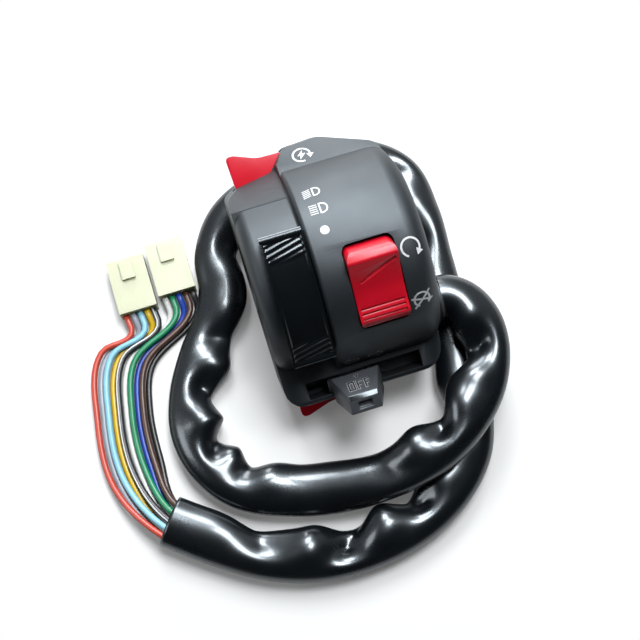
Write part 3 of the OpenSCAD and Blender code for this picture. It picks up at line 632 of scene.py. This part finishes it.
def press_on(bm, node, middle, out, lift):
    """Lays a flat mark, drawn in mm round a middle, on a node's surface along its outward direction."""
    skin = bmesh.new()
    skin.from_mesh(frame["nodes"][node].data)
    tree = BVHTree.FromBMesh(skin)
    skin.free()
    right = Vector((1, 0, 0))
    up = out.cross(right)
    for v in bm.verts:
        above = middle + right * v.co.x * MM + up * v.co.y * MM + out * 8 * MM
        spot = tree.ray_cast(above, -out)[0]
        if spot is None:
            raise RuntimeError("a mark misses " + node)
        v.co = spot + out * lift
    for face in bm.faces:
        face.normal_update()
        if face.normal.dot(out) < 0:
            face.normal_flip()


class CLUSTER_OT_shells(bpy.types.Operator):
    """Round the edges of the two shells and give them their matt finish"""

    bl_idname = "cluster.shells"
    bl_label = "Shells"

    def execute(self, context):
        sizes = context.scene.cluster_sizes
        tone = context.scene.cluster_colours.shell
        paint = moulded_plastic("Housing plastic", tone, 0.48, 0.02 * MM, shine=0.62, dust=0.015)
        moulded_copy("front_shell", paint, sizes.edge)
        moulded_copy("rear_shell", paint, sizes.edge)
        return {"FINISHED"}


class CLUSTER_OT_switches(bpy.types.Operator):
    """Round and polish the slider, the rocker, the knob and the two paddles"""

    bl_idname = "cluster.switches"
    bl_label = "Switches"

    def execute(self, context):
        sizes = context.scene.cluster_sizes
        tones = context.scene.cluster_colours
        black = moulded_plastic("Slider plastic", tones.black, 0.14, 0.003 * MM, shine=0.5)
        red = moulded_plastic("Red plastic", tones.red, 0.30, 0.006 * MM, shine=0.4)
        grey = moulded_plastic("Knob plastic", tones.knob, 0.32, 0.012 * MM, shine=0.5)
        repaint(["light_slider"], black)
        skin = new_piece("slider_skin", slider_skin(), black, "light_slider")
        skin.data.set_sharp_from_angle(angle=math.radians(50))
        moulded_copy("kill_rocker", red, sizes.edge)
        # The knob's second finish is the black slider plastic, painted shade on its front chamfer
        knob = moulded_copy("turn_knob", grey, sizes.edge, chamfer_painted_shade)
        knob.data.materials.append(black)
        moulded_copy("starter_paddle", red, sizes.edge * 2)
        moulded_copy("horn_paddle", red, sizes.edge * 2)
        return {"FINISHED"}


class CLUSTER_OT_inner_parts(bpy.types.Operator):
    """Give the inner parts, the screws and the grommet their finishes"""

    bl_idname = "cluster.inner_parts"
    bl_label = "Inner parts"

    def execute(self, context):
        finishes = {}
        for slot, name, rough, grain in INNER_PLASTICS:
            finishes[slot] = moulded_plastic(name, SLOT_COLOUR[slot], rough, grain)
        for slot, name, rough in INNER_METALS:
            finishes[slot] = drawn_metal(name, SLOT_COLOUR[slot], rough)
        for part in frame["record"]["subparts"]:
            if part["material_slot"] in finishes:
                repaint([part["node"]], finishes[part["material_slot"]])
        return {"FINISHED"}


class CLUSTER_OT_sleeve(bpy.types.Operator):
    """Lay the limp sleeve along its route, with its folds and its open mouth"""

    bl_idname = "cluster.sleeve"
    bl_label = "Cable sleeve"

    def execute(self, context):
        wall = context.scene.cluster_sizes.sleeve_wall
        spots = [Vector(p[:3]) for p in SLEEVE_ROUTE]
        steps = smooth_route(spots, SLEEVE_START, SLEEVE_END, SLEEVE_STEP)
        line = [p for p, _ in steps]
        run = [0.0]
        for a, b in zip(line, line[1:]):
            run.append(run[-1] + (b - a).length)
        half_sizes = []
        for _, t in steps:
            i = min(int(t), len(spots) - 2)
            a, b = SLEEVE_ROUTE[i], SLEEVE_ROUTE[i + 1]
            half_sizes.append((a[3] + (b[3] - a[3]) * (t - i), a[4] + (b[4] - a[4]) * (t - i)))

        def dent(i, angle):
            """Swell or dent of the sleeve at a ring and an angle round it."""
            s = run[i]
            ends = min(1.0, s / SLEEVE_EASE_IN, (run[-1] - s) / SLEEVE_EASE_OUT)
            swell = 0.0
            for n, (at, bite, depth, half) in enumerate(FOLDS):
                turn = angle - math.radians(bite)
                slant = math.sin(turn) * (FOLD_SLANT if n % 2 else -FOLD_SLANT)
                off = abs((s - at) / MM - slant) / half
                if off < 4:
                    face = ease(math.cos(turn), -0.1, 0.8)
                    swell -= depth * face * (math.exp(-off ** 1.6) - 0.30 * math.exp(-(off - 2.0) ** 2))
            low = 0.5 - 0.5 * math.sin(angle)
            return ends * swell * MM * (1 - 0.7 * low * low)

        bm, rim = sweep(line, half_sizes, SLEEVE_SIDES, dent)
        for shrink, back in ((wall, 0.0), (0.2 * wall, SLEEVE_INSIDE)):
            made = bmesh.ops.extrude_edge_only(bm, edges=rim)["geom"]
            ring = [g for g in made if isinstance(g, bmesh.types.BMVert)]
            rim = [g for g in made if isinstance(g, bmesh.types.BMEdge)
                   and g.verts[0] in ring and g.verts[1] in ring]
            for v in ring:
                out = v.co - line[-1]
                v.co -= out.normalized() * shrink + SLEEVE_END * back
        bmesh.ops.recalc_face_normals(bm, faces=bm.faces)
        for face in bm.faces:
            face.smooth = True
        paint = limp_sleeve("Sleeve plastic", context.scene.cluster_colours.sleeve)
        sleeve = new_piece("sleeve", bm, paint, "housing")
        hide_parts("cable_sleeve")
        return {"FINISHED"}


class CLUSTER_OT_wires(bpy.types.Operator):
    """Fan the ten wires from the sleeve's mouth to their connectors"""

    bl_idname = "cluster.wires"
    bl_label = "Wires"

    def execute(self, context):
        half = context.scene.cluster_sizes.wire_d / 2
        across = UP.cross(SLEEVE_END)
        for k, name in enumerate(WIRES):
            lane = (k - 4.5) * FAN_STEP
            plug = PLUG_B if k < PLUG_WAYS else PLUG_A
            row = 1 if k % 2 else -1
            lift = UP * FAN_RISE * row
            start = MOUTH + across * (k // 2 - 2) * MOUTH_STEP + UP * MOUTH_ROWS * row
            fan = [Vector(p) + Vector(s).normalized() * lane + lift for p, s in zip(FAN_POINTS, FAN_SIDES)]
            end = plug + PLUG_SIDE * (k % PLUG_WAYS - 2) * PLUG_PITCH
            lead = end - PLUG_DIR * FAN_LEAD
            lead.z = FAN_POINTS[0][2] + lift.z
            spots = [start - SLEEVE_END * WIRE_TUCK, start, *fan, lead, end]
            line = [p for p, _ in smooth_route(spots, SLEEVE_END, PLUG_DIR, 2 * MM)]
            bm, _ = sweep(line, [(half, half)] * len(line), WIRE_SIDES)
            bmesh.ops.holes_fill(bm, edges=[e for e in bm.edges if e.is_boundary])
            bmesh.ops.recalc_face_normals(bm, faces=bm.faces)
            for face in bm.faces:
                face.smooth = len(face.verts) == 4
            stripe = STRIPE if name == "wire_striped" else None
            paint = insulation(name + " insulation", shade(SLOT_COLOUR[name], WIRE_SHADE), stripe)
            wire = new_piece(name + "_laid", bm, paint, "housing")
            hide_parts(name)
            run = sum((b - a).length for a, b in zip(line, line[1:]))
        return {"FINISHED"}


class CLUSTER_OT_marks(bpy.types.Operator):
    """Print the signs on the front shell and raise the word on the knob"""

    bl_idname = "cluster.marks"
    bl_label = "Marks"

    def execute(self, context):
        sizes = context.scene.cluster_sizes
        tones = context.scene.cluster_colours
        white = print_ink("White print", tones.ink)
        # The grey ink is the stop and arrow marks' own print, and also a painted highlight round the knob's
        # letters
        grey = print_ink("Grey print and painted highlight", tones.dim_ink)
        black = print_ink("Black letters", tones.black)
        on_barrel = (
            (low_beam_mark, white, -1.9, 49.6), (high_beam_mark, white, -1.6, 37.9),
            (dot_mark, white, -2.3, 25.3), (run_mark, white, 18.2, 4.3), (stop_mark, grey, 18.0, -25),
            (left_arrow_mark, grey, -4.0, -60), (right_arrow_mark, grey, 3.2, -60),
        )
        for draw, ink, x, angle in on_barrel:
            out = Vector((0, -math.cos(math.radians(angle)), math.sin(math.radians(angle))))
            middle = Vector((x * MM, 0, 0)) + BARREL_AXIS + out * BARREL_R
            self.mark(draw, ink, "front_shell", middle, out, sizes.ink_line, sizes.ink_lift)
        self.mark(start_mark, white, "front_shell", HUMP_TOP, HUMP_OUT, sizes.ink_line, sizes.ink_lift)
        # The wider grey copy of the word under the black raised letters is a painted highlight round their
        # edges
        for ink, share, lift in ((grey, 1.3, sizes.ink_lift), (black, 0.85, sizes.letter_rise)):
            self.mark(off_mark, ink, "turn_knob", KNOB_TOP, KNOB_OUT, sizes.ink_line * share, lift)
        return {"FINISHED"}

    def mark(self, draw, ink, node, middle, out, wide, lift):
        """Draws one mark with lines of a width and lays it on a node."""
        bm = bmesh.new()
        draw(bm, wide / MM)
        press_on(bm, node, LAY @ middle, (LAY @ out).normalized(), lift)
        body = frame["nodes"][node]["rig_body"]
        new_piece(draw.__name__, bm, ink, body)


class CLUSTER_OT_connectors(bpy.types.Operator):
    """Give the two connectors their cloudy nylon"""

    bl_idname = "cluster.connectors"
    bl_label = "Connectors"

    def execute(self, context):
        nylon = natural_nylon("Natural nylon", context.scene.cluster_colours.nylon)
        repaint(["connector_a", "connector_b"], nylon)
        return {"FINISHED"}


class CLUSTER_OT_stage(bpy.types.Operator):
    """Set the pale floor, the soft lamps and the camera"""

    bl_idname = "cluster.stage"
    bl_label = "Stage"

    def execute(self, context):
        scene = context.scene
        scene.view_settings.view_transform = "Standard"
        bm = bmesh.new()
        bmesh.ops.create_grid(bm, x_segments=1, y_segments=1, size=3,
                              matrix=Matrix.Translation((0, 0, BENCH_Z)))
        mesh = bpy.data.meshes.new("floor")
        bm.to_mesh(mesh)
        bm.free()
        floor = bpy.data.objects.new("floor", mesh)
        scene.collection.objects.link(floor)
        paint = Paint("Pale floor", {"Base Color": scene.cluster_colours.floor, "Roughness": 0.5})
        rays = paint.node("ShaderNodeLightPath", {}, {})
        seen = paint.out(rays, "Is Camera Ray") + paint.out(rays, "Is Transmission Ray")
        far = paint.node("ShaderNodeVectorMath", {"operation": "DISTANCE"},
                         {0: paint.place(), 1: STAGE_MIDDLE})
        fade = paint.between(paint.out(far, "Value"), STAGE_NEAR, STAGE_FAR)
        white = seen * (fade * GLOW_GAIN + GLOW_NEAR)
        glow = paint.node("ShaderNodeEmission", {}, {"Color": (1, 1, 1, 1), "Strength": 1.0})
        both = paint.node("ShaderNodeMixShader", {}, {0: white, 1: Socket(paint, paint.shader.outputs[0]),
                                                      2: Socket(paint, glow.outputs[0])})
        target = paint.tree.nodes["Material Output"].inputs["Surface"]
        paint.feed(target, Socket(paint, both.outputs[0]))
        mesh.materials.append(paint.material)
        world = bpy.data.worlds.new("Soft room")
        world.use_nodes = True
        self.sky(world.node_tree)
        scene.world = world
        for name, place, size, power in LAMPS:
            self.lamp(scene, name, place, size, power)
        lens = bpy.data.cameras.new("camera")
        lens.lens = CAMERA_LENS
        lens.sensor_width = 36
        lens.clip_start = 0.01
        camera = bpy.data.objects.new("camera", lens)
        camera.location = CAMERA_AIM + CAMERA_TOWARDS * CAMERA_DISTANCE
        camera.rotation_euler = (-CAMERA_TOWARDS).to_track_quat("-Z", "Y").to_euler()
        scene.collection.objects.link(camera)
        scene.camera = camera
        return {"FINISHED"}

    def sky(self, tree):
        """Room light that is bright overhead and behind, and dark in front; the camera sees it white."""
        split = tree.nodes.new("ShaderNodeSeparateXYZ")
        tree.links.new(tree.nodes.new("ShaderNodeTexCoord").outputs["Generated"], split.inputs[0])
        fade = tree.nodes.new("ShaderNodeMapRange")
        fade.interpolation_type = "SMOOTHSTEP"
        for socket, value in (("From Min", -0.15), ("From Max", 0.35), ("To Min", 0.02), ("To Max", 0.42)):
            fade.inputs[socket].default_value = value
        tree.links.new(split.outputs["Y"], fade.inputs["Value"])
        seen = tree.nodes.new("ShaderNodeMath")
        seen.operation = "MAXIMUM"
        tree.links.new(fade.outputs["Result"], seen.inputs[0])
        tree.links.new(tree.nodes.new("ShaderNodeLightPath").outputs["Is Camera Ray"], seen.inputs[1])
        back = tree.nodes["Background"]
        back.inputs["Color"].default_value = (*LAMP_COLOUR, 1)
        tree.links.new(seen.outputs[0], back.inputs["Strength"])

    def lamp(self, scene, name, place, size, power):
        """A square softbox that faces the cluster."""
        data = bpy.data.lights.new(name, "AREA")
        data.size = size
        data.energy = power
        data.color = LAMP_COLOUR
        lamp = bpy.data.objects.new(name, data)
        lamp.location = place
        lamp.rotation_euler = (-place).to_track_quat("-Z", "Y").to_euler()
        scene.collection.objects.link(lamp)


class CLUSTER_PT_panel(bpy.types.Panel):
    """Sizes, colours and steps of the cluster"""

    bl_idname = "CLUSTER_PT_panel"
    bl_label = "Switch cluster"
    bl_space_type = "VIEW_3D"
    bl_region_type = "UI"
    bl_category = "Cluster"

    def draw(self, context):
        for group in (context.scene.cluster_sizes, context.scene.cluster_colours):
            for name in group.__annotations__:
                self.layout.prop(group, name)
        for operator in OPERATORS:
            self.layout.operator(operator.bl_idname)


OPERATORS = [
    CLUSTER_OT_shells, CLUSTER_OT_switches, CLUSTER_OT_inner_parts, CLUSTER_OT_connectors,
    CLUSTER_OT_marks, CLUSTER_OT_sleeve, CLUSTER_OT_wires, CLUSTER_OT_stage,
]
CLASSES = [ClusterSizes, ClusterColours, *OPERATORS, CLUSTER_PT_panel]


def register():
    """Adds the add-on's classes and its settings."""
    for one in CLASSES:
        bpy.utils.register_class(one)
    bpy.types.Scene.cluster_sizes = PointerProperty(type=ClusterSizes)
    bpy.types.Scene.cluster_colours = PointerProperty(type=ClusterColours)


def unregister():
    """Takes the add-on's settings and classes away."""
    del bpy.types.Scene.cluster_colours
    del bpy.types.Scene.cluster_sizes
    for one in reversed(CLASSES):
        bpy.utils.unregister_class(one)


def main():
    """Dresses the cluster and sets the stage."""
    register()
    bpy.ops.cluster.shells()
    bpy.ops.cluster.switches()
    bpy.ops.cluster.inner_parts()
    bpy.ops.cluster.connectors()
    bpy.ops.cluster.marks()
    bpy.ops.cluster.sleeve()
    bpy.ops.cluster.wires()
    bpy.ops.cluster.stage()


if __name__ == "__main__":
    main()
